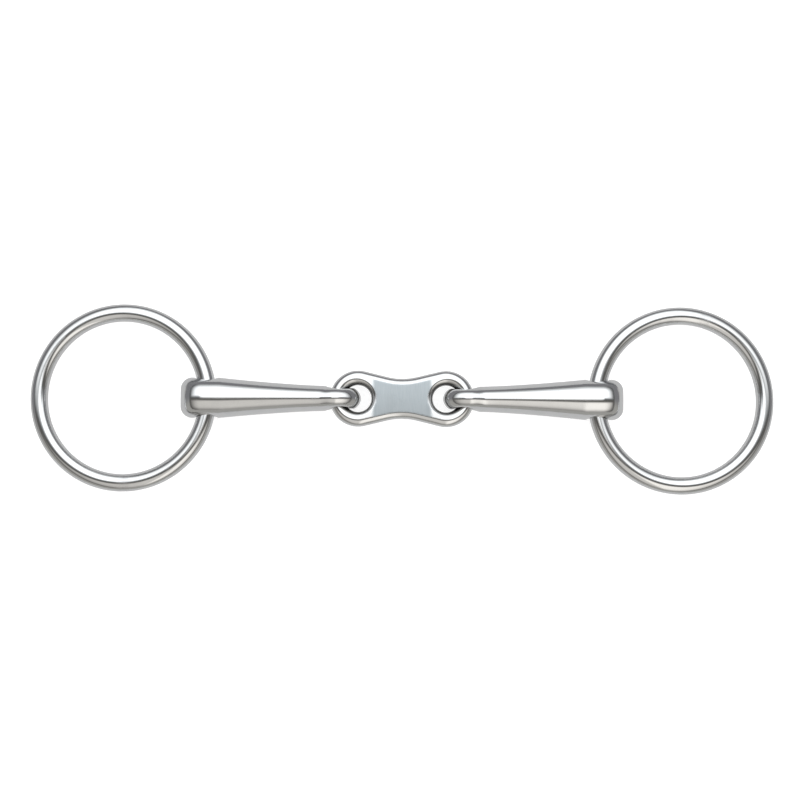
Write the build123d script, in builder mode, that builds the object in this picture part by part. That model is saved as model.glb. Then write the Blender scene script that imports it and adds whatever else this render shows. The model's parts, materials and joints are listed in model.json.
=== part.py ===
from build123d import *

import os
from math import acos, asin, atan2, cos, degrees, hypot, pi, sin, sqrt

# A loose-ring snaffle bit with a French link, lying flat on z = 0, in millimetres.
# X runs along the mouthpiece, Y across it, and the origin is under the middle of the link.
# Each pair of pieces is modelled on the +X side and mirrored to the -X side.

# Rings: round wire, closed to a circle through the end of each cannon
RING_OUTER_DIAMETER = 70.0
WIRE_DIAMETER = 6.5

# Mouthpiece: from the inside of one ring to the inside of the other, where they enter it
MOUTH_WIDTH = 140.0

# French link: a flat plate between two eyes of round bar
LINK_HOLE_SPACING = 32.74
LINK_HOLE_DIAMETER = 10.0
LINK_RIM_WIDTH = 5.45
LINK_THICKNESS = 5.4
LINK_WAIST = 14.9
LINK_WAIST_RADIUS = 23.0
LINK_EDGE_BAND = 0.2
LINK_HOLE_LAND = 0.2
LINK_MOUTH_OVERLAP = 0.8

# Cannon butt: the thick end, with the bore that the ring runs through
BUTT_WIDTH = 15.0
BUTT_RADIUS = 8.0
BUTT_OVERHANG = 9.6
BUTT_CORNER_RADIUS = 4.3
BORE_CLEARANCE = 0.2
BORE_MOUTH_RADIUS = 1.0

# Cannon shank: tapers from the butt to the neck
TAPER_START = 4.7
TAPER_POWER = 1.42
NECK_WIDTH = 9.4
NECK_THICKNESS = 13.4
NECK_BLEND_RADIUS = 16.0
NECK_TO_EYE = 5.5

# Cannon eye: an upright ring of bar that passes through the link's hole
EYE_BAR = 4.175
EYE_TIP_LENGTH = 5.8
EYE_SIDE_CLEARANCE = 0.2
EYE_PLAY = 0.8
EYE_CLEARANCE = 0.3
EYE_MOUTH_WIDTH = 2.2
EYE_MOUTH_DEPTH = 2.6

# How far the top of a rounded hole mouth lies past the face it opens in
MOUTH_OVERRUN = 0.05

# Sections that shape the cannon: how finely its rounded ends are followed
END_SECTIONS = 8
SHANK_SECTIONS = 12
LAST_SECTION_ANGLE = 0.44 * pi

# Ring wire and the bow that its curve makes inside the bore
wire_radius = WIRE_DIAMETER / 2
ring_radius = (RING_OUTER_DIAMETER - WIRE_DIAMETER) / 2
wire_bow = ring_radius - sqrt(ring_radius**2 - (BUTT_WIDTH / 2) ** 2)
bore_radius = wire_radius + wire_bow / 2 + BORE_CLEARANCE
bore_x = MOUTH_WIDTH / 2 + wire_radius - wire_bow / 2

# Link: its holes, the lobes around them and the rounding of its outer edge
link_hole_x = LINK_HOLE_SPACING / 2
link_hole_radius = LINK_HOLE_DIAMETER / 2
link_lobe_radius = link_hole_radius + LINK_RIM_WIDTH
link_edge_radius = (LINK_THICKNESS - LINK_EDGE_BAND) / 2

# Eye: its hole goes around the link's rim, and its bar goes through the link's hole
rim_middle_x = link_hole_x + link_hole_radius + LINK_RIM_WIDTH / 2
eye_x = rim_middle_x - EYE_PLAY
eye_hole_radius = LINK_RIM_WIDTH / 2 + EYE_PLAY + EYE_CLEARANCE
eye_radius = eye_hole_radius + EYE_BAR
eye_bar_offset = eye_x - eye_hole_radius - EYE_BAR / 2 - link_hole_x
eye_width = 2 * (sqrt(link_hole_radius**2 - eye_bar_offset**2) - EYE_SIDE_CLEARANCE)

# Heights, and the slope at which each ring leans from its bore to the floor
axis_height = max(BUTT_RADIUS, eye_radius)
bore_to_far_wire = 2 * ring_radius - wire_bow / 2
ring_slope = asin((axis_height - wire_radius) / bore_to_far_wire)

# Places along the cannon, measured from the bore's axis towards the link
eye_place = bore_x - eye_x
butt_middle = BUTT_RADIUS - BUTT_OVERHANG
blend_start = sqrt((eye_radius + NECK_BLEND_RADIUS) ** 2 - (NECK_THICKNESS / 2 + NECK_BLEND_RADIUS) ** 2)
blend_end = blend_start * eye_radius / (eye_radius + NECK_BLEND_RADIUS)


def tapered(place, end, butt_size, neck_size):
    """Size between the butt and the neck, falling fast at first and levelling at the neck."""
    share = min(max((place - TAPER_START) / (end - TAPER_START), 0.0), 1.0)
    return neck_size + (butt_size - neck_size) * (1 - share) ** TAPER_POWER


def round_end(distance, length):
    """Share of full size at a distance inwards from the tip of an elliptical end."""
    return sqrt(max(1 - (1 - distance / length) ** 2, 0.0)) if distance < length else 1.0


def cannon_half_width(place):
    """Half the cannon's size across the mouthpiece, in plan."""
    flat_half = BUTT_WIDTH / 2 - BUTT_CORNER_RADIUS
    if place < BUTT_CORNER_RADIUS - BUTT_OVERHANG:
        return flat_half + BUTT_CORNER_RADIUS * round_end(place + BUTT_OVERHANG, BUTT_CORNER_RADIUS)
    neck_place = eye_place - NECK_TO_EYE
    if place < neck_place:
        return tapered(place, neck_place, BUTT_WIDTH / 2, NECK_WIDTH / 2)
    swell = min((place - neck_place) / NECK_TO_EYE, 1.0)
    full = NECK_WIDTH / 2 + (eye_width - NECK_WIDTH) / 2 * swell
    return full * round_end(eye_place + eye_radius - place, EYE_TIP_LENGTH)


def cannon_half_height(place):
    """Half the cannon's thickness, from the side: round butt, taper, blend, round eye."""
    if place < butt_middle:
        return BUTT_RADIUS * round_end(place + BUTT_OVERHANG, BUTT_RADIUS)
    from_eye = eye_place - place
    if from_eye > blend_start:
        return tapered(place, eye_place - blend_start, BUTT_RADIUS, NECK_THICKNESS / 2)
    if from_eye > blend_end:
        blend_drop = sqrt(NECK_BLEND_RADIUS**2 - (blend_start - from_eye) ** 2)
        return NECK_THICKNESS / 2 + NECK_BLEND_RADIUS - blend_drop
    return sqrt(eye_radius**2 - from_eye**2)


def cannon_places():
    """Where the cannon's sections stand: close together at its rounded ends."""
    angles = [LAST_SECTION_ANGLE * step / END_SECTIONS for step in range(END_SECTIONS, 0, -1)]
    butt = [butt_middle - BUTT_RADIUS * sin(angle) for angle in angles]
    neck = eye_place - blend_start
    run = neck - butt_middle
    shank = [butt_middle + run * step / SHANK_SECTIONS for step in range(SHANK_SECTIONS + 1)]
    blend = [eye_place - (blend_start + blend_end) / 2, eye_place - blend_end, eye_place - blend_end / 2]
    tip = [eye_place + eye_radius * sin(angle) for angle in reversed(angles)]
    return butt + shank + blend + [eye_place] + tip


def hole_cutter(plane, radius, depth, mouth_width, mouth_depth):
    """Half-section of a cutter for a through hole along the plane's Y axis.

    The hole keeps its radius in the middle of its depth. Each mouth opens along a quarter
    ellipse, whose top lies a little past the face, so that it meets the face at an angle.
    """
    land = depth / 2 - mouth_depth
    reach = depth
    with BuildSketch(plane) as section:
        with BuildLine():
            mouth = EllipticalCenterArc(
                (radius + mouth_width, land), mouth_width, mouth_depth + MOUTH_OVERRUN, 90, arc_size=90
            )
            Polyline(mouth @ 1, (radius, 0), (0, 0), (0, reach), (radius + mouth_width, reach), mouth @ 0)
        make_face()
        mirror(about=Plane.XZ)
    return section.sketch


# French link: waist arcs and lobes joined by straight flanks that touch both
waist_centre_y = LINK_WAIST / 2 + LINK_WAIST_RADIUS
centre_distance = hypot(link_hole_x, waist_centre_y)
flank_angle = degrees(
    atan2(link_hole_x, waist_centre_y) - acos((LINK_WAIST_RADIUS + link_lobe_radius) / centre_distance)
)

with BuildPart() as french_link:
    with BuildSketch(Plane.XY.offset(axis_height)):
        with BuildLine():
            waist = CenterArc((0, waist_centre_y), LINK_WAIST_RADIUS, -90, flank_angle)
            lobe = CenterArc((link_hole_x, 0), link_lobe_radius, 0, 90 + flank_angle)
            Line(waist @ 1, lobe @ 1)
            mirror(about=Plane.XZ)
            mirror(about=Plane.YZ)
        make_face()
    extrude(amount=LINK_THICKNESS / 2, both=True)
    face_rims = french_link.faces().filter_by(Axis.Z).edges()
    fillet(face_rims, link_edge_radius)
    mouth_width = LINK_RIM_WIDTH - link_edge_radius + LINK_MOUTH_OVERLAP
    mouth_depth = (LINK_THICKNESS - LINK_HOLE_LAND) / 2
    for side in (-1, 1):
        hole_plane = Plane((side * link_hole_x, 0, axis_height), x_dir=(1, 0, 0), z_dir=(0, -1, 0))
        cutter = hole_cutter(hole_plane, link_hole_radius, LINK_THICKNESS, mouth_width, mouth_depth)
        revolve(cutter, axis=Axis(hole_plane.origin, (0, 0, 1)), mode=Mode.SUBTRACT)
french_link.part.label = "french_link"

# Cannon: elliptical sections from butt to eye, then the ring's bore and the eye's hole.
# Each section starts at its top, so the loft's seam runs clear of both holes.
with BuildPart() as right_cannon:
    for place in cannon_places():
        with BuildSketch(Plane((bore_x - place, 0, axis_height), x_dir=(0, 0, 1), z_dir=(1, 0, 0))):
            Ellipse(cannon_half_height(place), cannon_half_width(place))
    loft()
    bore_plane = Plane((bore_x, 0, axis_height))
    bore_cutter = hole_cutter(bore_plane, bore_radius, BUTT_WIDTH, BORE_MOUTH_RADIUS, BORE_MOUTH_RADIUS)
    revolve(bore_cutter, axis=Axis(bore_plane.origin, (0, 1, 0)), mode=Mode.SUBTRACT)
    eye_plane = Plane((eye_x, 0, axis_height))
    eye_cutter = hole_cutter(eye_plane, eye_hole_radius, eye_width, EYE_MOUTH_WIDTH, EYE_MOUTH_DEPTH)
    revolve(eye_cutter, axis=Axis(eye_plane.origin, (0, 1, 0)), mode=Mode.SUBTRACT)
right_cannon.part.label = "right_cannon"

# Ring: its wire is centred in the bore, and its far side rests on the floor
ring_centre_distance = ring_radius - wire_bow / 2
ring_centre = (
    bore_x + ring_centre_distance * cos(ring_slope),
    0,
    axis_height - ring_centre_distance * sin(ring_slope),
)
ring_plane = Plane(ring_centre, x_dir=(0, 1, 0), z_dir=(sin(ring_slope), 0, cos(ring_slope)))

with BuildPart(ring_plane) as right_ring:
    Torus(ring_radius, wire_radius)
right_ring.part.label = "right_ring"

# Left side
with BuildPart() as left_cannon:
    mirror(right_cannon.part, about=Plane.YZ)
left_cannon.part.label = "left_cannon"

with BuildPart() as left_ring:
    mirror(right_ring.part, about=Plane.YZ)
left_ring.part.label = "left_ring"

os.makedirs("parts", exist_ok=True)
for piece in (french_link, left_cannon, right_cannon, left_ring, right_ring):
    export_step(piece.part, f"parts/{piece.part.label}.step")
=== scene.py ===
"""A loose-ring snaffle bit with a French link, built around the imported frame.

Each sub-assembly is a class: its dataclass fields hold its sizes in metres, and its methods build
its mesh and dress it. The ring, cannon and link stand for the CAD pieces of the same names, and
each rides on that piece's body.
"""

import json
import logging
import math
from dataclasses import dataclass, field
from enum import Enum
from typing import Any, Callable, ClassVar, Optional, Union

import bmesh
import bpy
from mathutils import Matrix, Vector

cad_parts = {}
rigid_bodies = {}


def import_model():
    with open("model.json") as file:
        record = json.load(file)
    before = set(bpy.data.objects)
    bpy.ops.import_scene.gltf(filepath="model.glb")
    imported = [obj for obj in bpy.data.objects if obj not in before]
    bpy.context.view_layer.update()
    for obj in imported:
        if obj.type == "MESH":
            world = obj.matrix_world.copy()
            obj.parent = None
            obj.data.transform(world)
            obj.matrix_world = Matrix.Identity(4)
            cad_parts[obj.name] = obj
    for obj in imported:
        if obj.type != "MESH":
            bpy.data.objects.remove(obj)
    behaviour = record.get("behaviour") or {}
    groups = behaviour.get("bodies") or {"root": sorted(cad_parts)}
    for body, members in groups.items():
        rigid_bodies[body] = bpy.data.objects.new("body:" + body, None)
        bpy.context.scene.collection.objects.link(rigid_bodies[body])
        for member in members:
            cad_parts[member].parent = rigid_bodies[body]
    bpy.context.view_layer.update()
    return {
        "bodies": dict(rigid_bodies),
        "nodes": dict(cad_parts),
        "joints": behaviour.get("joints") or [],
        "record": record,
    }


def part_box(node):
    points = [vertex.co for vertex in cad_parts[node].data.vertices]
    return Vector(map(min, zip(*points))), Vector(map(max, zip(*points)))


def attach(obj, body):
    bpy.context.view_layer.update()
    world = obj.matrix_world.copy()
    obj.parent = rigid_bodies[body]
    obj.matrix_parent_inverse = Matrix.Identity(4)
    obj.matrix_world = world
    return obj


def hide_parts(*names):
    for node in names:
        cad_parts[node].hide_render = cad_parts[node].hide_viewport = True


log = logging.getLogger("snaffle_bit")

MM = 0.001
Colour = tuple[float, float, float, float]
Number = Union[float, "Signal"]


class Side(Enum):
    """The two ends of the mouthpiece, by the sign of their X."""

    LEFT = -1
    RIGHT = 1

    @property
    def word(self) -> str:
        """The side's name as the CAD pieces and bodies use it."""
        return self.name.lower()


# ---------------------------------------------------------------- shader arithmetic


def arithmetic(operation: str, swapped: bool = False) -> Callable[["Signal", Number], "Signal"]:
    """The method of a Signal that works out one operation on it and another value.

    Args:
        operation: The Math node's operation.
        swapped: Whether the other value comes first.

    Returns:
        The method.
    """

    def method(self: "Signal", other: Number) -> "Signal":
        first, second = (other, self) if swapped else (self, other)
        return self.bench.math(operation, first, second)

    return method


class Signal:
    """A shader socket that takes part in ordinary arithmetic on numbers."""

    def __init__(self, bench: "NodeBench", socket: bpy.types.NodeSocket) -> None:
        """Keeps the node bench and the socket that carries the value."""
        self.bench = bench
        self.socket = socket

    __add__ = arithmetic("ADD")
    __radd__ = arithmetic("ADD", swapped=True)
    __sub__ = arithmetic("SUBTRACT")
    __rsub__ = arithmetic("SUBTRACT", swapped=True)
    __mul__ = arithmetic("MULTIPLY")
    __rmul__ = arithmetic("MULTIPLY", swapped=True)
    __truediv__ = arithmetic("DIVIDE")

    def __abs__(self) -> "Signal":
        """Size of the value without its sign."""
        return self.bench.math("ABSOLUTE", self)

    def root(self) -> "Signal":
        """Square root of the value."""
        return self.bench.math("SQRT", self)

    def ramp(self, low: float, high: float) -> "Signal":
        """Smooth climb from 0 to 1 as the value goes from low to high.

        Args:
            low: The value that gives 0.
            high: The value that gives 1, which may be below low.

        Returns:
            The share, from 0 to 1.
        """
        turned = high < low
        first, last = (high, low) if turned else (low, high)
        settings = {"interpolation_type": "SMOOTHSTEP"}
        values = {"Value": self, "From Min": first, "From Max": last}
        share = self.bench.make("ShaderNodeMapRange", settings, values).out("Result")
        return 1.0 - share if turned else share


@dataclass
class MadeNode:
    """A node with a short way to its outputs."""

    bench: "NodeBench"
    node: bpy.types.Node

    def out(self, name: Union[str, int] = 0) -> Signal:
        """The output of that name or number, ready for arithmetic."""
        return Signal(self.bench, self.node.outputs[name])


class NodeBench:
    """Adds nodes to one node tree and links them."""

    def __init__(self, tree: bpy.types.NodeTree) -> None:
        """Takes over the tree and empties it."""
        self.tree = tree
        self.tree.nodes.clear()

    def make(self, kind: str, settings: dict[str, Any], values: dict[Union[str, int], Any]) -> MadeNode:
        """Adds one node.

        Args:
            kind: The node's type name.
            settings: Its properties, which are set before its sockets.
            values: What goes into each socket: a number, a tuple or a Signal.

        Returns:
            The node, with a short way to its outputs.
        """
        node = self.tree.nodes.new(kind)
        for name, value in settings.items():
            setattr(node, name, value)
        for name, value in values.items():
            if isinstance(value, Signal):
                self.tree.links.new(value.socket, node.inputs[name])
            else:
                node.inputs[name].default_value = value
        return MadeNode(self, node)

    def math(self, operation: str, *values: Number) -> Signal:
        """One Math node on up to three values."""
        inputs = dict(enumerate(values))
        return self.make("ShaderNodeMath", {"operation": operation}, inputs).out()

    def place(self) -> Signal:
        """The point's own coordinates on the piece, in metres."""
        return self.make("ShaderNodeTexCoord", {}, {}).out("Object")

    def mark(self, name: str) -> Signal:
        """What the mesh's own attribute of that name says, from 0 to 1."""
        return self.make("ShaderNodeAttribute", {"attribute_name": name}, {}).out("Fac")

    def apart(self, vector: Signal) -> tuple[Signal, Signal, Signal]:
        """The three numbers of a vector."""
        parts = self.make("ShaderNodeSeparateXYZ", {}, {"Vector": vector})
        return parts.out("X"), parts.out("Y"), parts.out("Z")

    def joined(self, x: Number, y: Number, z: Number) -> Signal:
        """A vector from three numbers."""
        return self.make("ShaderNodeCombineXYZ", {}, {"X": x, "Y": y, "Z": z}).out("Vector")

    def noise(self, vector: Signal, scale: float, detail: float = 2.0, rough: float = 0.5) -> Signal:
        """Smooth noise between 0 and 1, with features of about 1/scale metres."""
        values = {"Vector": vector, "Scale": scale, "Detail": detail, "Roughness": rough}
        return self.make("ShaderNodeTexNoise", {}, values).out("Fac")

    def stretched(self, vector: Signal, scale: tuple[float, float, float]) -> Signal:
        """A vector with each of its numbers multiplied."""
        settings = {"operation": "MULTIPLY"}
        return self.make("ShaderNodeVectorMath", settings, {0: vector, 1: scale}).out("Vector")

    def blend(self, share: Number, first: Union[Colour, Signal], second: Union[Colour, Signal]) -> Signal:
        """A colour between two others."""
        mix = self.make("ShaderNodeMix", {"data_type": "RGBA"}, {})
        for name, value in (("Factor_Float", share), ("A_Color", first), ("B_Color", second)):
            socket = next(s for s in mix.node.inputs if s.identifier == name)
            if isinstance(value, Signal):
                self.tree.links.new(value.socket, socket)
            else:
                socket.default_value = value
        result = next(s for s in mix.node.outputs if s.identifier == "Result_Color")
        return Signal(self, result)

    def bumped(self, height: Signal, strength: float, distance: float) -> Signal:
        """A normal that follows a height, which is given in units of the distance."""
        values = {"Height": height, "Strength": strength, "Distance": distance}
        return self.make("ShaderNodeBump", {}, values).out("Normal")


# ---------------------------------------------------------------- finishes


@dataclass(frozen=True)
class PolishedSteel:
    """Mirror-polished stainless steel with the fine marks that buffing leaves.

    The buffing lines run along the flow of each piece, which the subclasses give. Broad waves of
    the surface bend its reflections a little, and faint haze lies where the buff passed less.
    """

    name: str = "polished_steel"
    bright: Colour = (0.80, 0.805, 0.81, 1.0)
    dull: Colour = (0.70, 0.705, 0.71, 1.0)
    roughness: float = 0.085
    haze: float = 0.07
    wave_length: float = 9.0 * MM
    wave_depth: float = 0.018 * MM
    line_width: float = 0.16 * MM
    line_depth: float = 0.00035 * MM
    cloud_size: float = 6.0 * MM
    speck_size: float = 0.9 * MM
    speck_depth: float = 0.0006 * MM
    # painted shade: a darker colour down the mouths of the holes, which also get a rougher finish
    unbuffed: Colour = (0.25, 0.25, 0.245, 1.0)
    unbuffed_roughness: float = 0.14
    hole_attribute: ClassVar[str] = "inside_hole"

    def flow(self, bench: NodeBench, place: Signal) -> Signal:
        """Coordinates that change slowly along the buffing lines: here, along X."""
        return bench.stretched(place, (0.04, 1.0, 1.0))

    def extra_height(self, bench: NodeBench, place: Signal) -> Optional[Signal]:
        """Height in metres of marks that only this piece has."""
        return None

    def extra_haze(self, bench: NodeBench, place: Signal) -> Optional[Signal]:
        """Share, 0 to 1, of a duller surface that only this piece has."""
        return None

    def material(self) -> bpy.types.Material:
        """Builds the material's nodes.

        Returns:
            The material, which reads only Object coordinates and the piece's own attributes.
        """
        material = bpy.data.materials.new(self.name)
        material.use_nodes = True
        bench = NodeBench(material.node_tree)
        place = bench.place()
        lines = bench.noise(self.flow(bench, place), 1.0 / self.line_width, 2.0, 0.6)
        cloud = bench.noise(place, 1.0 / self.cloud_size, 3.0, 0.55)
        wave = bench.noise(place, 1.0 / self.wave_length, 1.0, 0.4)
        specks = bench.noise(place, 1.0 / self.speck_size, 2.0, 0.5).ramp(0.70, 0.80)
        hazy = cloud.ramp(0.45, 0.75)
        roughness = self.roughness + self.haze * hazy + 0.03 * lines + 0.05 * specks
        height = (wave - 0.5) * self.wave_depth + (lines - 0.5) * self.line_depth
        height = height - specks * self.speck_depth
        extra = self.extra_height(bench, place)
        if extra is not None:
            height = height + extra
        worn = 0.45 * hazy + 0.35 * lines
        dulled = self.extra_haze(bench, place)
        colour = bench.blend(worn, self.bright, self.dull)
        if dulled is not None:
            colour = self.dull_colour(bench, dulled, colour)
            roughness = self.dull_roughness(dulled, roughness)
        # Painted shade: darken the holes' mouths where the mesh marks them, and make them rougher.
        hole_shade = bench.mark(self.hole_attribute)
        colour = bench.blend(hole_shade, colour, self.unbuffed)
        roughness = roughness + hole_shade * self.unbuffed_roughness
        normal = bench.bumped(height / MM, 1.0, MM)
        values = {"Base Color": colour, "Metallic": 1.0, "Roughness": roughness, "Normal": normal}
        shader = bench.make("ShaderNodeBsdfPrincipled", {}, values)
        bench.make("ShaderNodeOutputMaterial", {}, {"Surface": shader.out("BSDF")})
        return material

    def dull_colour(self, bench: NodeBench, dulled: Signal, colour: Signal) -> Signal:
        """Colour where the piece has its own duller surface."""
        return bench.blend(dulled * 0.5, colour, self.dull)

    def dull_roughness(self, dulled: Signal, roughness: Signal) -> Signal:
        """Roughness where the piece has its own duller surface."""
        return roughness + dulled * 0.12


@dataclass(frozen=True)
class RingSteel(PolishedSteel):
    """Ring wire: drawn lines that run round the ring, and the dressed joint of its weld."""

    name: str = "ring_wire_steel"
    centre: Vector = field(default_factory=Vector)
    normal: Vector = field(default_factory=Vector)
    weld: Vector = field(default_factory=Vector)
    weld_reach: float = 5.0 * MM
    ripple_size: float = 1.6 * MM
    ripple_depth: float = 0.02 * MM
    wave_depth: float = 0.022 * MM

    def flow(self, bench: NodeBench, place: Signal) -> Signal:
        """Distance from the ring's axis, height over its plane, and a slow walk along the wire."""
        shift = {"operation": "SUBTRACT"}
        local = bench.make("ShaderNodeVectorMath", shift, {0: place, 1: tuple(self.centre)}).out("Vector")
        dot = {"operation": "DOT_PRODUCT"}
        rise = bench.make("ShaderNodeVectorMath", dot, {0: local, 1: tuple(self.normal)}).out("Value")
        reach = bench.make("ShaderNodeVectorMath", {"operation": "LENGTH"}, {0: local}).out("Value")
        x, y, _ = bench.apart(local)
        radius = (reach * reach - rise * rise).root()
        return bench.joined(radius, rise, (x + y) * 0.03)

    def near_weld(self, bench: NodeBench, place: Signal) -> Signal:
        """Distance from the middle of the weld, in metres."""
        distance = {"operation": "DISTANCE"}
        return bench.make("ShaderNodeVectorMath", distance, {0: place, 1: tuple(self.weld)}).out("Value")

    def extra_height(self, bench: NodeBench, place: Signal) -> Optional[Signal]:
        """A dressed weld: slight ripples that fade a few millimetres from the joint."""
        fade = self.near_weld(bench, place).ramp(self.weld_reach, 3.2 * MM)
        ripple = bench.noise(place, 1.0 / self.ripple_size, 2.0, 0.6)
        return (ripple - 0.5) * fade * self.ripple_depth

    def extra_haze(self, bench: NodeBench, place: Signal) -> Optional[Signal]:
        """The joint's own line, a little duller than the wire."""
        return self.near_weld(bench, place).ramp(4.6 * MM, 3.3 * MM)


@dataclass(frozen=True)
class CannonSteel(PolishedSteel):
    """Cannon: cast and buffed along its length, with a few light scratches across it."""

    name: str = "cannon_steel"
    wave_depth: float = 0.03 * MM
    wave_length: float = 13.0 * MM
    scratch_width: float = 0.5 * MM
    scratch_depth: float = 0.0012 * MM
    patch_size: float = 8.0 * MM

    def extra_height(self, bench: NodeBench, place: Signal) -> Optional[Signal]:
        """A few light scratches that run across the buffing lines."""
        slanted = bench.stretched(place, (1.0, 0.10, 0.10))
        scratch = bench.noise(slanted, 1.0 / self.scratch_width, 1.0, 0.5).ramp(0.74, 0.80)
        patch = bench.noise(place, 1.0 / self.patch_size, 1.0, 0.5).ramp(0.52, 0.66)
        return scratch * patch * -self.scratch_depth


@dataclass(frozen=True)
class LinkSteel(PolishedSteel):
    """Link: polished round its edges, with satin ground faces that carry a small scratch."""

    name: str = "link_steel"
    satin: Colour = (0.345, 0.388, 0.413, 1.0)
    satin_roughness: float = 0.30
    face_attribute: ClassVar[str] = "ground_face"
    wave_length: float = 12.0 * MM
    wave_depth: float = 0.016 * MM
    nick_start: tuple[float, float] = (-2.9 * MM, 0.9 * MM)
    nick_end: tuple[float, float] = (1.6 * MM, -2.6 * MM)
    nick_depth: float = 0.012 * MM
    grain_width: float = 0.22 * MM

    def nick(self, bench: NodeBench, place: Signal) -> Signal:
        """Share of a thin scratch with a small pit at its start, on the upper face."""
        x, y, _ = bench.apart(place)
        start_x, start_y = self.nick_start
        run = (self.nick_end[0] - start_x, self.nick_end[1] - start_y)
        length = math.hypot(*run)
        along = ((x - start_x) * run[0] + (y - start_y) * run[1]) / length
        aside = abs(((x - start_x) * run[1] - (y - start_y) * run[0]) / length)
        broken = bench.noise(place, 1.0 / (0.7 * MM), 1.0, 0.5).ramp(0.35, 0.60)
        line = aside.ramp(0.15 * MM, 0.03 * MM) * along.ramp(0.0, 0.6 * MM)
        line = line * along.ramp(length, length * 0.7) * broken
        pit = (along * along + aside * aside).root().ramp(0.45 * MM, 0.12 * MM)
        return bench.math("MAXIMUM", line, pit)

    def extra_height(self, bench: NodeBench, place: Signal) -> Optional[Signal]:
        """The scratch and its pit."""
        return self.nick(bench, place) * -self.nick_depth

    def extra_haze(self, bench: NodeBench, place: Signal) -> Optional[Signal]:
        """The satin faces, which the mesh marks with an attribute."""
        return bench.mark(self.face_attribute)

    def dull_colour(self, bench: NodeBench, dulled: Signal, colour: Signal) -> Signal:
        """Blue-grey satin on the ground faces, uneven by a few percent."""
        across = bench.stretched(bench.place(), (1.0, 0.06, 1.0))
        grain = bench.noise(across, 1.0 / self.grain_width, 2.0, 0.6)
        satin = bench.blend(grain * 0.35, self.satin, self.dull)
        return bench.blend(dulled, colour, satin)

    def dull_roughness(self, dulled: Signal, roughness: Signal) -> Signal:
        """Satin roughness on the ground faces."""
        return roughness + dulled * (self.satin_roughness - self.roughness)


# ---------------------------------------------------------------- pieces


def finished(name: str, bm: bmesh.types.BMesh, finish: PolishedSteel) -> bpy.types.Object:
    """Turns a mesh into an object with smooth faces that point outwards.

    Args:
        name: The piece's name.
        bm: Its mesh, in place in the frame. It is freed.
        finish: The finish that it gets.

    Returns:
        The new object, at the origin.
    """
    bmesh.ops.remove_doubles(bm, verts=bm.verts[:], dist=0.0005 * MM)
    bmesh.ops.recalc_face_normals(bm, faces=bm.faces[:])
    for face in bm.faces:
        face.smooth = True
    open_edges = sum(1 for edge in bm.edges if not edge.is_manifold)
    mesh = bpy.data.meshes.new(name)
    bm.to_mesh(mesh)
    log.info("%s: %d faces, %d open edges", name, len(bm.faces), open_edges)
    bm.free()
    mesh.materials.append(finish.material())
    piece = bpy.data.objects.new(name, mesh)
    bpy.context.scene.collection.objects.link(piece)
    return piece


def extruded(bm: bmesh.types.BMesh, edges: list[bmesh.types.BMEdge]) -> tuple[list, list]:
    """Extrudes a row of edges in place.

    Args:
        bm: The mesh.
        edges: The edges of the row.

    Returns:
        The new vertices and the new edges that continue the row.
    """
    made = bmesh.ops.extrude_edge_only(bm, edges=edges)["geom"]
    verts = [part for part in made if isinstance(part, bmesh.types.BMVert)]
    fresh = set(verts)
    rows = [part for part in made if isinstance(part, bmesh.types.BMEdge)]
    return verts, [edge for edge in rows if edge.verts[0] in fresh and edge.verts[1] in fresh]


@dataclass
class Layout:
    """Places on the right side that the pieces share, as the frame's joints and boxes give them."""

    bore: Vector
    fold: Vector
    ring_box: tuple[Vector, Vector]

    @classmethod
    def of(cls, frame: dict[str, Any]) -> "Layout":
        """Reads the right side's joint places from the frame."""
        places = {joint["name"]: Vector(joint["pos_m"]) for joint in frame["joints"]}
        return cls(places["right_ring_swing"], places["right_cannon_fold"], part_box("right_ring"))


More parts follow.
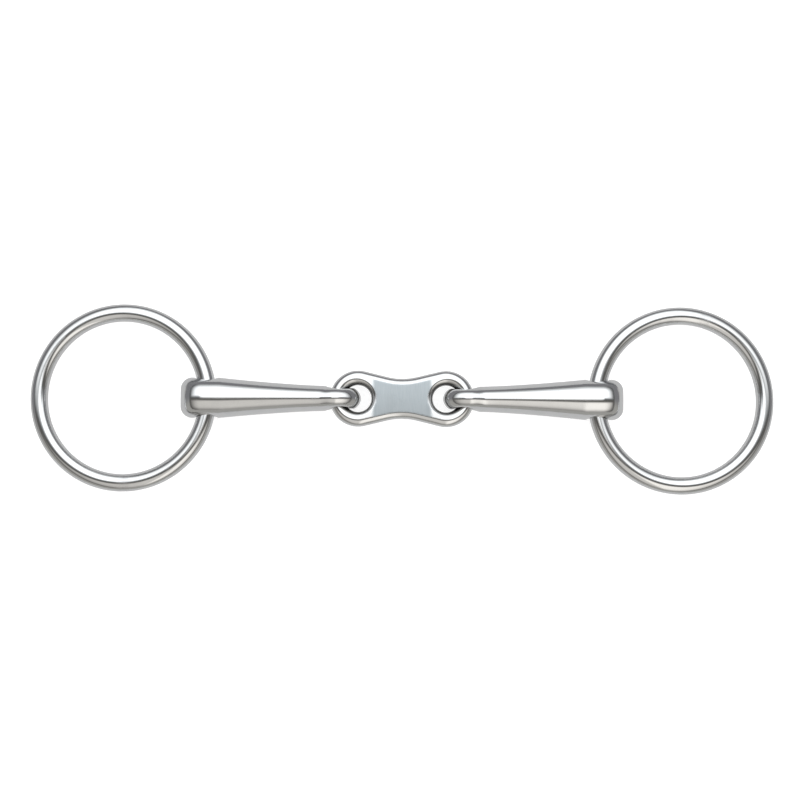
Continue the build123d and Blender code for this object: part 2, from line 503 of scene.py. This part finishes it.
@dataclass
class LooseRing:
    """A cheek ring of round wire, welded shut and lying from its bore down to the floor."""

    side: Side
    layout: Layout
    weld_turn: float
    outer_diameter: float = 70.0 * MM
    wire_diameter: float = 6.5 * MM
    bore_width: float = 15.0 * MM
    weld_depth: float = 0.045 * MM
    weld_half_angle: float = math.radians(3.2)
    wire_sides: int = 48
    ring_steps: int = 216

    @property
    def wire_radius(self) -> float:
        """Half the wire's thickness."""
        return self.wire_diameter / 2

    @property
    def radius(self) -> float:
        """From the ring's centre to the middle of its wire."""
        return (self.outer_diameter - self.wire_diameter) / 2

    def placement(self) -> Matrix:
        """Where a ring made flat about the origin goes, for the ring's own side.

        Returns:
            The matrix, which mirrors the ring for the left side.
        """
        bow = self.radius - math.sqrt(self.radius**2 - (self.bore_width / 2) ** 2)
        rise = self.layout.bore.z - self.wire_radius
        slope = math.asin(rise / (2 * self.radius - bow / 2))
        reach = self.radius - bow / 2
        centre = self.layout.bore + Vector((reach * math.cos(slope), 0, -reach * math.sin(slope)))
        placed = Matrix.Translation(centre) @ Matrix.Rotation(slope, 4, "Y")
        return Matrix.Diagonal((self.side.value, 1, 1, 1)) @ placed

    def weld_point(self) -> Vector:
        """Middle of the wire where its ends were joined, on the flat ring."""
        return Matrix.Rotation(self.weld_turn, 4, "Z") @ Vector((self.radius, 0, 0))

    def mesh(self) -> bmesh.types.BMesh:
        """Spins the wire's section round the ring and dresses the weld.

        Returns:
            The ring's mesh, in place.
        """
        bm = bmesh.new()
        section = Matrix.Translation((self.radius, 0, 0)) @ Matrix.Rotation(math.pi / 2, 4, "X")
        bmesh.ops.create_circle(bm, segments=self.wire_sides, radius=self.wire_radius, matrix=section)
        geom = bm.verts[:] + bm.edges[:]
        whole = {"angle": 2 * math.pi, "steps": self.ring_steps, "use_merge": True}
        bmesh.ops.spin(bm, geom=geom, cent=(0, 0, 0), axis=(0, 0, 1), dvec=(0, 0, 0), **whole)
        for vert in bm.verts:
            turn = math.atan2(vert.co.y, vert.co.x)
            middle = Vector((self.radius * math.cos(turn), self.radius * math.sin(turn), 0))
            offset = abs((turn - self.weld_turn + math.pi) % (2 * math.pi) - math.pi)
            near = max(0.0, 1 - offset / self.weld_half_angle)
            groove = self.weld_depth * near * near * (3 - 2 * near)
            vert.co = middle + (vert.co - middle) * (1 - groove / self.wire_radius)
        bmesh.ops.transform(bm, matrix=self.placement(), verts=bm.verts[:])
        return bm

    def build(self) -> None:
        """Makes the ring, dresses it and puts it on its body."""
        placed = self.placement()
        finish = RingSteel(
            name=f"{self.side.word}_ring_wire_steel",
            centre=placed.translation,
            normal=(placed.to_3x3() @ Vector((0, 0, 1))).normalized(),
            weld=placed @ self.weld_point(),
        )
        piece = finished(f"{self.side.word}_loose_ring", self.mesh(), finish)
        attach(piece, f"{self.side.word}_ring_body")
        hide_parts(f"{self.side.word}_ring")


@dataclass
class Hole:
    """A round hole across the cannon, with rounded mouths.

    Where it breaks out, the mesh is opened over a patch of that half length and half angle.
    """

    centre: Vector
    radius: float
    depth: float
    mouth_width: float
    mouth_depth: float
    patch: tuple[float, float]

    @property
    def land(self) -> float:
        """Half the length of the hole's straight part."""
        return self.depth / 2 - self.mouth_depth

    def lip(self, distance: float) -> float:
        """Share of the way down the mouth at a distance from the hole's axis."""
        inside = min(max((self.radius + self.mouth_width - distance) / self.mouth_width, 0.0), 1.0)
        return 1 - math.sqrt(1 - inside * inside)


@dataclass
class Cannon:
    """Half of the mouthpiece: a tapered bar with a bore at its butt and an eye at its neck."""

    side: Side
    layout: Layout
    butt_width: float = 15.0 * MM
    butt_radius: float = 8.0 * MM
    butt_overhang: float = 9.6 * MM
    butt_corner_radius: float = 4.3 * MM
    taper_start: float = 4.7 * MM
    taper_power: float = 1.42
    neck_width: float = 9.4 * MM
    neck_thickness: float = 13.4 * MM
    neck_blend_radius: float = 16.0 * MM
    neck_to_eye: float = 5.5 * MM
    eye_radius: float = 8.0 * MM
    crest_offset: float = 2.2 * MM
    crest_height: float = 7.6 * MM
    eye_hole_radius: float = 3.825 * MM
    eye_width: float = 9.393 * MM
    eye_tip_length: float = 5.8 * MM
    bore_radius: float = 3.8993 * MM
    sides: int = 96
    cap_steps: int = 20
    shank_steps: int = 44
    swell_steps: int = 12
    approach_steps: int = 5
    lip_steps: int = 12
    tip_size: float = 0.02 * MM

    @property
    def eye_place(self) -> float:
        """From the bore's axis to the eye's, along the mouthpiece."""
        return self.layout.bore.x - self.layout.fold.x

    @property
    def blend_start(self) -> float:
        """Distance from the eye's axis at which the shank starts to swell."""
        outer = self.eye_radius + self.neck_blend_radius
        return math.sqrt(outer**2 - (self.neck_thickness / 2 + self.neck_blend_radius) ** 2)

    def holes(self) -> tuple[Hole, Hole]:
        """The ring's bore and the link's eye."""
        bore = Hole(
            centre=self.layout.bore,
            radius=self.bore_radius,
            depth=self.butt_width,
            mouth_width=0.9 * MM,
            mouth_depth=1.0 * MM,
            patch=(6.0 * MM, math.radians(48.75)),
        )
        eye = Hole(
            centre=self.layout.fold,
            radius=self.eye_hole_radius,
            depth=self.eye_width,
            mouth_width=2.2 * MM,
            mouth_depth=2.6 * MM,
            patch=(6.93 * MM, math.radians(60.0)),
        )
        return bore, eye

    def tapered(self, place: float, end: float, butt_size: float, neck_size: float) -> float:
        """Size between the butt and the neck, which falls fast at first and levels at the neck."""
        share = min(max((place - self.taper_start) / (end - self.taper_start), 0.0), 1.0)
        return neck_size + (butt_size - neck_size) * (1 - share) ** self.taper_power

    @staticmethod
    def round_end(distance: float, length: float) -> float:
        """Share of full size at a distance inwards from the tip of an elliptical end."""
        return math.sqrt(max(1 - (1 - distance / length) ** 2, 0.0)) if distance < length else 1.0

    def half_width(self, place: float) -> float:
        """Half the size across the mouthpiece, at a distance from the bore towards the link."""
        corner = self.butt_corner_radius
        if place < corner - self.butt_overhang:
            flat_half = self.butt_width / 2 - corner
            return flat_half + corner * self.round_end(place + self.butt_overhang, corner)
        neck_place = self.eye_place - self.neck_to_eye
        if place < neck_place:
            return self.tapered(place, neck_place, self.butt_width / 2, self.neck_width / 2)
        swell = min((place - neck_place) / self.neck_to_eye, 1.0)
        full = self.neck_width / 2 + (self.eye_width - self.neck_width) / 2 * swell
        return full * self.round_end(self.eye_place + self.eye_radius - place, self.eye_tip_length)

    def half_height(self, place: float) -> float:
        """Half the thickness, at a distance from the bore: round butt, taper, swelling, eye."""
        if place < self.butt_radius - self.butt_overhang:
            return self.butt_radius * self.round_end(place + self.butt_overhang, self.butt_radius)
        from_eye = self.eye_place - place
        neck_half = self.neck_thickness / 2
        if from_eye > self.blend_start:
            return self.tapered(place, self.eye_place - self.blend_start, self.butt_radius, neck_half)
        if from_eye > self.crest_offset:
            swell = (self.blend_start - from_eye) / (self.blend_start - self.crest_offset)
            return neck_half + (self.crest_height - neck_half) * swell * swell * (3 - 2 * swell)
        share = (self.crest_offset - from_eye) / (self.crest_offset + self.eye_radius)
        return self.crest_height * math.sqrt(max(1 - share * share, 0.0))

    def surface(self, x: float, z: float) -> float:
        """Half the cannon's width at a point of its side view."""
        place = self.layout.bore.x - x
        height = self.half_height(place)
        if height <= 0:
            return 0.0
        share = min(abs(z - self.layout.bore.z) / height, 1.0)
        return self.half_width(place) * math.sqrt(1 - share * share)

    def places(self) -> list[float]:
        """Where the cannon's sections stand, closest together at its rounded ends."""
        quarter = [math.pi / 2 * step / self.cap_steps for step in range(self.cap_steps + 1)]
        butt = [self.butt_radius * (1 - math.cos(turn)) - self.butt_overhang for turn in quarter]
        reach = self.eye_radius + self.crest_offset
        tip = [self.eye_place - self.crest_offset + reach * math.sin(turn) for turn in quarter]
        middle = self.eye_place - self.blend_start - butt[-1]
        shank = [butt[-1] + middle * step / self.shank_steps for step in range(1, self.shank_steps)]
        swell = self.blend_start - self.crest_offset
        start = self.eye_place - self.blend_start
        blend = [start + swell * step / self.swell_steps for step in range(self.swell_steps)]
        return butt + shank + blend + tip

    def mesh(self) -> bmesh.types.BMesh:
        """Runs an elliptical section from butt to eye, then opens both holes.

        Returns:
            The cannon's mesh, in place.
        """
        bm = bmesh.new()
        bm.verts.layers.float.new(PolishedSteel.hole_attribute)
        places = self.places()
        turn = Matrix.Rotation(math.pi / 2, 4, "Y")
        bmesh.ops.create_circle(bm, segments=self.sides, radius=1.0, matrix=turn)
        verts, edges = bm.verts[:], bm.edges[:]
        size = Vector((1.0, 1.0))
        previous = 0.0
        for number, place in enumerate(places):
            if number:
                verts, edges = extruded(bm, edges)
            halves = (self.half_width(place), self.half_height(place))
            wanted = Vector([max(half, self.tip_size) for half in halves])
            x = self.layout.bore.x - place
            grow = (1.0, wanted.x / size.x, wanted.y / size.y)
            axis = Matrix.Translation((0, 0, -self.layout.bore.z if number else 0))
            bmesh.ops.scale(bm, vec=grow, space=axis, verts=verts)
            shift = (x - previous, 0, 0 if number else self.layout.bore.z)
            bmesh.ops.translate(bm, vec=shift, verts=verts)
            size, previous = wanted, x
        self.close_ends(bm)
        for hole in self.holes():
            self.open_hole(bm, hole)
        if self.side is Side.LEFT:
            bmesh.ops.scale(bm, vec=(-1, 1, 1), verts=bm.verts[:])
        return bm

    def close_ends(self, bm: bmesh.types.BMesh) -> None:
        """Draws the first section to a line and the last one to a point."""
        middle = self.layout.bore.z
        ends = [vert for vert in bm.verts if vert.is_boundary]
        butt = [vert for vert in ends if vert.co.x > self.layout.bore.x]
        tip = [vert for vert in ends if vert.co.x < self.layout.fold.x]
        for vert in butt:
            vert.co.z = middle
        bmesh.ops.remove_doubles(bm, verts=butt, dist=0.001 * MM)
        point = Vector((self.layout.fold.x - self.eye_radius, 0, middle))
        bmesh.ops.pointmerge(bm, verts=tip, merge_co=point)

    def in_patch(self, face: bmesh.types.BMFace, hole: Hole, sign: int) -> bool:
        """Whether a face lies where a hole breaks out on that side of the cannon."""
        middle = face.calc_center_median()
        half_length, half_angle = hole.patch
        if middle.y * sign <= 0 or abs(middle.x - hole.centre.x) > half_length:
            return False
        height = self.half_height(self.layout.bore.x - middle.x)
        return abs(middle.z - hole.centre.z) < height * math.sin(half_angle)

    def open_hole(self, bm: bmesh.types.BMesh, hole: Hole) -> None:
        """Cuts a hole with rounded mouths through the cannon, along Y.

        Args:
            bm: The cannon's mesh.
            hole: The hole's place and sizes.
        """
        rims = []
        for sign in (1, -1):
            patch = [face for face in bm.faces if self.in_patch(face, hole, sign)]
            around = [edge for face in patch for edge in face.edges]
            rim = [edge for edge in set(around) if sum(f in set(patch) for f in edge.link_faces) == 1]
            rim.sort(key=lambda edge: edge.index)
            bmesh.ops.delete(bm, geom=patch, context="FACES")
            rims.append(self.sink(bm, rim, hole, sign))
        bmesh.ops.bridge_loops(bm, edges=rims[0] + rims[1])

    def sink(
        self, bm: bmesh.types.BMesh, rim: list[bmesh.types.BMEdge], hole: Hole, sign: int
    ) -> list[bmesh.types.BMEdge]:
        """Carries a patch's rim inwards to the hole and down its rounded mouth, marking the mouth's
        deeper half for painted shade.

        Args:
            bm: The cannon's mesh.
            rim: The edges round the open patch.
            hole: The hole that the rim leads to.
            sign: Which side of the cannon, +1 or -1 in Y.

        Returns:
            The edges where the hole's straight part starts.
        """
        outer = hole.radius + hole.mouth_width
        shade = bm.verts.layers.float[PolishedSteel.hole_attribute]
        for left in range(self.approach_steps, 0, -1):
            verts, rim = extruded(bm, rim)
            for vert in verts:
                self.settle(vert, hole, sign, lambda now: now + (outer - now) / left)
        for step in range(1, self.lip_steps + 1):
            turn = math.pi / 2 * step / self.lip_steps
            reach = hole.radius + hole.mouth_width * (1 - math.sin(turn))
            verts, rim = extruded(bm, rim)
            for vert in verts:
                self.settle(vert, hole, sign, lambda now: reach)
                # painted shade: the deeper half of the mouth gets the darker hole colour
                vert[shade] = max(0.0, 2 * step / self.lip_steps - 1)
        return rim

    def settle(
        self, vert: bmesh.types.BMVert, hole: Hole, sign: int, reach: Callable[[float], float]
    ) -> None:
        """Moves a vertex towards the hole's axis and puts it on the surface there."""
        dx, dz = vert.co.x - hole.centre.x, vert.co.z - hole.centre.z
        now = math.hypot(dx, dz)
        wanted = reach(now)
        x, z = hole.centre.x + dx * wanted / now, hole.centre.z + dz * wanted / now
        edge_x = hole.centre.x + dx * hole.radius / now
        edge_z = hole.centre.z + dz * hole.radius / now
        fall = self.surface(edge_x, edge_z) - hole.land
        y = self.surface(x, z) - fall * hole.lip(wanted)
        vert.co = Vector((x, sign * y, z))

    def build(self) -> None:
        """Makes the cannon, dresses it and puts it on its body."""
        finish = CannonSteel(name=f"{self.side.word}_cannon_polish")
        piece = finished(f"{self.side.word}_cannon_bar", self.mesh(), finish)
        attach(piece, f"{self.side.word}_cannon_body")
        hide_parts(f"{self.side.word}_cannon")


@dataclass
class FrenchLink:
    """The middle plate: two eyes of round bar joined by a waisted, ground plate."""

    height: float
    hole_spacing: float = 32.74 * MM
    hole_radius: float = 5.0 * MM
    rim_width: float = 5.45 * MM
    thickness: float = 5.4 * MM
    waist: float = 14.9 * MM
    waist_radius: float = 23.0 * MM
    edge_radius: float = 2.6 * MM
    edge_band: float = 0.1 * MM
    mouth_at_rim: float = 3.3 * MM
    mouth_at_plate: float = 1.9 * MM
    crown: float = 0.10 * MM
    face_half_length: float = 11.8 * MM
    face_fade: float = 1.8 * MM
    ground_depth: float = 0.05 * MM
    dull_depth: float = 0.55 * MM
    merge_distance: float = 0.002 * MM
    outer_rays: int = 58
    plate_rays: int = 10
    mouth_steps: int = 18
    edge_steps: int = 16
    halvings: int = 40

    @property
    def hole_x(self) -> float:
        """From the link's middle to each hole's axis."""
        return self.hole_spacing / 2

    @property
    def lobe_radius(self) -> float:
        """Outer radius of each eye."""
        return self.hole_radius + self.rim_width

    @property
    def waist_centre(self) -> float:
        """From the link's middle to the centre of its waist's curve."""
        return self.waist / 2 + self.waist_radius

    @property
    def flank(self) -> float:
        """Angle of the straight flank between the waist and the lobe."""
        reach = math.hypot(self.hole_x, self.waist_centre)
        lean = math.acos((self.waist_radius + self.lobe_radius) / reach)
        return math.atan2(self.hole_x, self.waist_centre) - lean

    def inside(self, x: float, y: float) -> tuple[float, Vector]:
        """How far a point lies inside the outline, and the way out.

        Args:
            x: The point's place along the link.
            y: Its place across the link.

        Returns:
            The distance to the outline, and the outward direction.
        """
        px, py = abs(x), abs(y)
        signs = Vector((math.copysign(1, x), math.copysign(1, y), 0))
        lobe = Vector((px - self.hole_x, py, 0))
        waist = Vector((-px, self.waist_centre - py, 0))
        if math.atan2(lobe.y, lobe.x) < math.pi / 2 + self.flank:
            distance, way = self.lobe_radius - lobe.length, lobe.normalized()
        elif math.atan2(px, waist.y) < self.flank:
            distance, way = waist.length - self.waist_radius, waist.normalized()
        else:
            way = Vector((-math.sin(self.flank), math.cos(self.flank), 0))
            distance = self.lobe_radius - lobe.dot(way)
        return distance, Vector((way.x * signs.x, way.y * signs.y, 0))

    def mouth_width(self, x: float, y: float) -> float:
        """Width of the hole's rounded mouth, narrower towards the plate."""
        turn = math.atan2(y, abs(x) - self.hole_x)
        share = 0.5 + 0.5 * math.cos(turn)
        return self.mouth_at_plate + (self.mouth_at_rim - self.mouth_at_plate) * share

    def drops(self, x: float, y: float) -> tuple[float, float]:
        """How far the surface lies under the face: round the hole, and at the outer edge."""
        full = self.thickness / 2 - self.edge_band
        mouth = self.mouth_width(x, y)
        distance = math.hypot(abs(x) - self.hole_x, y)
        near = min(max((self.hole_radius + mouth - distance) / mouth, 0.0), 1.0)
        inner = full * (1 - math.sqrt(1 - near * near))
        depth, _ = self.inside(x, y)
        over = min(max((self.edge_radius - depth) / self.edge_radius, 0.0), 1.0)
        outer = self.edge_radius * (1 - math.sqrt(1 - over * over))
        return inner, outer

    def top(self, x: float, y: float) -> float:
        """Height of the upper surface over the link's middle plane."""
        inner, outer = self.drops(x, y)
        both = (inner**3 + outer**3) ** (1 / 3)
        bulge = self.crown * min((y / (self.waist / 2)) ** 2, 1.5)
        full = self.thickness / 2 - self.edge_band
        return max(self.thickness / 2 - bulge - min(both, full), self.edge_band)

    def core_reach(self, turn: float) -> float:
        """From the hole's axis to the edge of the plate's level core, along a ray.

        Args:
            turn: The ray's angle about the right hole's axis.

        Returns:
            The distance to the middle line or to where the outer edge starts to round.
        """
        low, high = self.hole_radius, 3 * self.lobe_radius
        way = Vector((math.cos(turn), math.sin(turn)))
        for _ in range(self.halvings):
            middle = (low + high) / 2
            x, y = self.hole_x + way.x * middle, way.y * middle
            if x > 0 and self.inside(x, y)[0] > self.edge_radius:
                low = middle
            else:
                high = middle
        return low

    def ray_turns(self) -> list[float]:
        """Angles of the rays round the right hole, one of them through each corner of the core."""
        corner_y = self.waist / 2 - self.edge_radius
        corner = math.atan2(corner_y, -self.hole_x)
        first = [corner * step / self.outer_rays for step in range(self.outer_rays)]
        rest = math.pi - corner
        second = [corner + rest * step / self.plate_rays for step in range(self.plate_rays)]
        upper = first + second
        return upper + [math.pi] + [-turn for turn in reversed(upper[1:])]

    def mesh(self) -> bmesh.types.BMesh:
        """Grows the upper right quarter outwards from its hole, then mirrors it twice.

        Returns:
            The link's mesh, in place.
        """
        bm = bmesh.new()
        turns = self.ray_turns()
        bmesh.ops.create_circle(bm, segments=len(turns), radius=self.hole_radius)
        rays = list(zip(bm.verts[:], turns))
        edges = bm.edges[:]
        for vert, turn in rays:
            way = Vector((math.cos(turn), math.sin(turn), 0))
            vert.co = Vector((self.hole_x, 0, 0)) + self.hole_radius * way
        for step in range(self.mouth_steps + 1):
            share = 1 - math.cos(math.pi / 2 * step / self.mouth_steps)
            verts, edges = extruded(bm, edges)
            for vert in verts:
                turn = math.atan2(vert.co.y, vert.co.x - self.hole_x)
                reach = self.hole_radius + (self.core_reach(turn) - self.hole_radius) * share
                x, y = self.hole_x + math.cos(turn) * reach, math.sin(turn) * reach
                vert.co = Vector((max(x, 0.0), y, self.edge_band if not step else self.top(x, y)))
        self.reflect(bm, "X")
        self.round_edge(bm)
        self.reflect(bm, "Z")
        self.mark_faces(bm)
        bmesh.ops.translate(bm, vec=(0, 0, self.height), verts=bm.verts[:])
        return bm

    def reflect(self, bm: bmesh.types.BMesh, axis: str) -> None:
        """Adds the mesh's mirror image across the middle, and joins the two where they meet."""
        geom = bm.verts[:] + bm.edges[:] + bm.faces[:]
        middle = Matrix.Identity(4)
        bmesh.ops.mirror(bm, geom=geom, matrix=middle, merge_dist=self.merge_distance, axis=axis)

    def round_edge(self, bm: bmesh.types.BMesh) -> None:
        """Carries the core's outline outwards over the rounded edge to the middle plane."""
        holes = self.hole_radius + 0.5 * MM
        rim = []
        for edge in bm.edges:
            middle = (edge.verts[0].co + edge.verts[1].co) / 2
            if edge.is_boundary and math.hypot(abs(middle.x) - self.hole_x, middle.y) > holes:
                rim.append(edge)
        for step in range(1, self.edge_steps + 1):
            turn = math.pi / 2 * step / self.edge_steps
            verts, rim = extruded(bm, rim)
            for vert in verts:
                depth, way = self.inside(vert.co.x, vert.co.y)
                wanted = self.edge_radius * (1 - math.sin(turn))
                spot = vert.co + way * (depth - wanted)
                vert.co = Vector((spot.x, spot.y, self.top(spot.x, spot.y)))
        verts, rim = extruded(bm, rim)
        for vert in verts:
            vert.co.z = 0.0

    def mark_faces(self, bm: bmesh.types.BMesh) -> None:
        """Marks where the plate's two faces were ground, and the painted shade down the holes."""
        layer = bm.verts.layers.float.new(LinkSteel.face_attribute)
        holes = bm.verts.layers.float.new(PolishedSteel.hole_attribute)
        for vert in bm.verts:
            inner, outer = self.drops(vert.co.x, vert.co.y)
            inset = (self.face_half_length - abs(vert.co.x)) / self.face_fade
            level = 1 - min((inner + outer) / self.ground_depth, 1.0)
            level = min(level, max(min(inset, 1.0), 0.0))
            vert[layer] = level * level * (3 - 2 * level)
            # painted shade: the holes' mouths, below the ground faces, get the darker hole colour
            vert[holes] = min(max((inner - self.ground_depth) / self.dull_depth, 0.0), 1.0)

    def build(self) -> None:
        """Makes the link, dresses it and puts it on its body."""
        piece = finished("french_link_plate", self.mesh(), LinkSteel())
        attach(piece, "centre_link")
        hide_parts("french_link")


# ---------------------------------------------------------------- studio


@dataclass
class Studio:
    """A pale floor under a broad overhead diffuser, with the camera almost straight above.

    The steel mirrors a duller sheet in place of the floor, far enough below it to be out of the way.
    """

    elevation: float = math.radians(86.0)
    distance: float = 0.90
    view_width: float = 0.2984
    aim: Vector = field(default_factory=lambda: Vector((-0.00075, -0.0003, 0.006)))
    roll: float = math.radians(0.32)
    ceiling: float = 0.70
    diffuser_half: tuple[float, float] = (1.7, 4.5)
    white: float = 1.55
    warm: Colour = (1.0, 0.965, 0.91, 1.0)
    cool: Colour = (0.97, 0.99, 1.0, 1.0)
    warm_level: float = 0.57
    gap_level: float = 0.12
    surround: float = 0.22
    floor_half: float = 6.0
    floor_height: float = -0.0002
    mirrored_half: float = 1.3
    mirrored_height: float = -0.30
    floor_light: float = 60.0
    lamp_size: float = 2.4
    lamp_height: float = 1.6
    sensor_width: float = 36.0

    def emitter(self) -> bpy.types.Material:
        """Glow of the overhead diffuser: white at the back, warm in front, dim between them.

        The dim gap is wider away from the middle, and the warm half is brighter to the right.

        Returns:
            The emission material.
        """
        material = bpy.data.materials.new("diffuser_glow")
        material.use_nodes = True
        bench = NodeBench(material.node_tree)
        x, y, _ = bench.apart(bench.place())
        sides = abs(x).ramp(1.40, 0.15)
        white_edge = (y - abs(x).ramp(0.11, 0.25) * 0.11).ramp(-0.15, 0.08)
        warm_edge = y.ramp(-0.175, -0.36)
        back = white_edge * (0.35 * y.ramp(6.0, 2.6) + 0.65 * y.ramp(2.5, 0.6))
        front = warm_edge * (0.45 * y.ramp(-6.0, -2.6) + 0.55 * y.ramp(-2.9, -0.8))
        tone = self.warm_level * (1.0 + 0.82 * x.ramp(-0.02, 0.11))
        level = (back * self.white + front * tone) * sides + self.gap_level
        colour = bench.blend(y.ramp(-0.10, 0.0), self.warm, self.cool)
        glow = bench.make("ShaderNodeEmission", {}, {"Color": colour, "Strength": level})
        bench.make("ShaderNodeOutputMaterial", {}, {"Surface": glow.out("Emission")})
        return material

    def matte(self, name: str, level: float, glow: float = 0.0) -> bpy.types.Material:
        """A plain matt grey of that level, which may be lit from behind as well."""
        material = bpy.data.materials.new(name)
        material.use_nodes = True
        bench = NodeBench(material.node_tree)
        colour = (level, level, level, 1.0)
        shader = bench.make("ShaderNodeBsdfDiffuse", {}, {"Color": colour}).out("BSDF")
        if glow:
            light = {"Color": (1.0, 1.0, 1.0, 1.0), "Strength": glow}
            lit = bench.make("ShaderNodeEmission", {}, light).out("Emission")
            shader = bench.make("ShaderNodeAddShader", {}, {0: shader, 1: lit}).out("Shader")
        bench.make("ShaderNodeOutputMaterial", {}, {"Surface": shader})
        return material

    def sheet(
        self, name: str, half_x: float, half_y: float, z: float, material: bpy.types.Material
    ) -> bpy.types.Object:
        """A flat rectangle about the Z axis, marked as stage.

        Args:
            name: The object's name.
            half_x: Half its size along X.
            half_y: Half its size along Y.
            z: Its height.
            material: Its material.

        Returns:
            The new object.
        """
        bm = bmesh.new()
        bmesh.ops.create_grid(bm, x_segments=1, y_segments=1, size=1.0)
        bmesh.ops.scale(bm, vec=(half_x, half_y, 1), verts=bm.verts[:])
        bmesh.ops.translate(bm, vec=(0, 0, z), verts=bm.verts[:])
        mesh = bpy.data.meshes.new(name)
        bm.to_mesh(mesh)
        bm.free()
        mesh.materials.append(material)
        rectangle = bpy.data.objects.new(name, mesh)
        bpy.context.scene.collection.objects.link(rectangle)
        return rectangle

    def lay_floor(self) -> None:
        """The white floor, and the duller one that the steel reflects."""
        white = self.matte("floor_white", 0.42, 0.72)
        floor = self.sheet("floor", self.floor_half, self.floor_half, self.floor_height, white)
        floor.visible_glossy = False
        floor.visible_shadow = False
        grey = self.matte("floor_grey", 0.38)
        half = self.mirrored_half
        mirrored = self.sheet("floor_in_steel", half, half, self.mirrored_height, grey)
        mirrored.visible_camera = False
        mirrored.visible_diffuse = False
        mirrored.visible_shadow = False

    def hang_lights(self) -> None:
        """The overhead diffuser, and a broad fill that lights only matt surfaces."""
        diffuser = self.sheet("diffuser", *self.diffuser_half, self.ceiling, self.emitter())
        diffuser.visible_camera = False
        diffuser.visible_shadow = False
        lamp = bpy.data.lights.new("fill", "AREA")
        lamp.shape = "SQUARE"
        lamp.size = self.lamp_size
        lamp.energy = self.floor_light
        fill = bpy.data.objects.new("fill", lamp)
        fill.location = (0, 0, self.lamp_height)
        fill.visible_glossy = False
        fill.visible_camera = False
        bpy.context.scene.collection.objects.link(fill)

    def surround_world(self) -> None:
        """A dim room for the steel to mirror, white where the camera looks past the floor."""
        world = bpy.data.worlds.new("room")
        bpy.context.scene.world = world
        world.use_nodes = True
        bench = NodeBench(world.node_tree)
        seen = bench.make("ShaderNodeLightPath", {}, {}).out("Is Camera Ray")
        _, y, _ = bench.apart(bench.make("ShaderNodeTexCoord", {}, {}).out("Generated"))
        behind = (self.surround, self.surround, self.surround * 1.04, 1.0)
        front = (self.surround * 1.75, self.surround * 1.72, self.surround * 1.62, 1.0)
        dim = bench.blend(y.ramp(0.1, -0.5), behind, front)
        colour = bench.blend(seen, dim, (1.0, 1.0, 1.0, 1.0))
        back = bench.make("ShaderNodeBackground", {}, {"Color": colour, "Strength": 1.0})
        bench.make("ShaderNodeOutputWorld", {}, {"Surface": back.out("Background")})

    def place_camera(self) -> None:
        """The camera, looking down at the whole bit from just in front of it."""
        lens = bpy.data.cameras.new("camera")
        lens.sensor_width = self.sensor_width
        lens.lens = self.sensor_width * self.distance / self.view_width
        lens.clip_start = 0.02
        lens.clip_end = 50.0
        camera = bpy.data.objects.new("camera", lens)
        away = Vector((0, -math.cos(self.elevation), math.sin(self.elevation)))
        camera.location = self.aim + away * self.distance
        turn = Matrix.Rotation(math.pi / 2 - self.elevation, 4, "X") @ Matrix.Rotation(self.roll, 4, "Z")
        camera.rotation_euler = turn.to_euler()
        bpy.context.scene.collection.objects.link(camera)
        bpy.context.scene.camera = camera

    def build(self) -> None:
        """Sets up the floor, the lights, the room and the camera."""
        bpy.context.scene.view_settings.view_transform = "Standard"
        self.lay_floor()
        self.hang_lights()
        self.surround_world()
        self.place_camera()


def main() -> None:
    """Builds every piece around the frame, then the studio."""
    logging.basicConfig(level=logging.INFO, format="%(name)s: %(message)s")
    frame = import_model()
    layout = Layout.of(frame)
    weld_turns = {Side.LEFT: math.radians(-91), Side.RIGHT: math.radians(74)}
    for side in Side:
        LooseRing(side, layout, weld_turns[side]).build()
        Cannon(side, layout).build()
    FrenchLink(layout.fold.z).build()
    Studio().build()


if __name__ == "__main__":
    main()
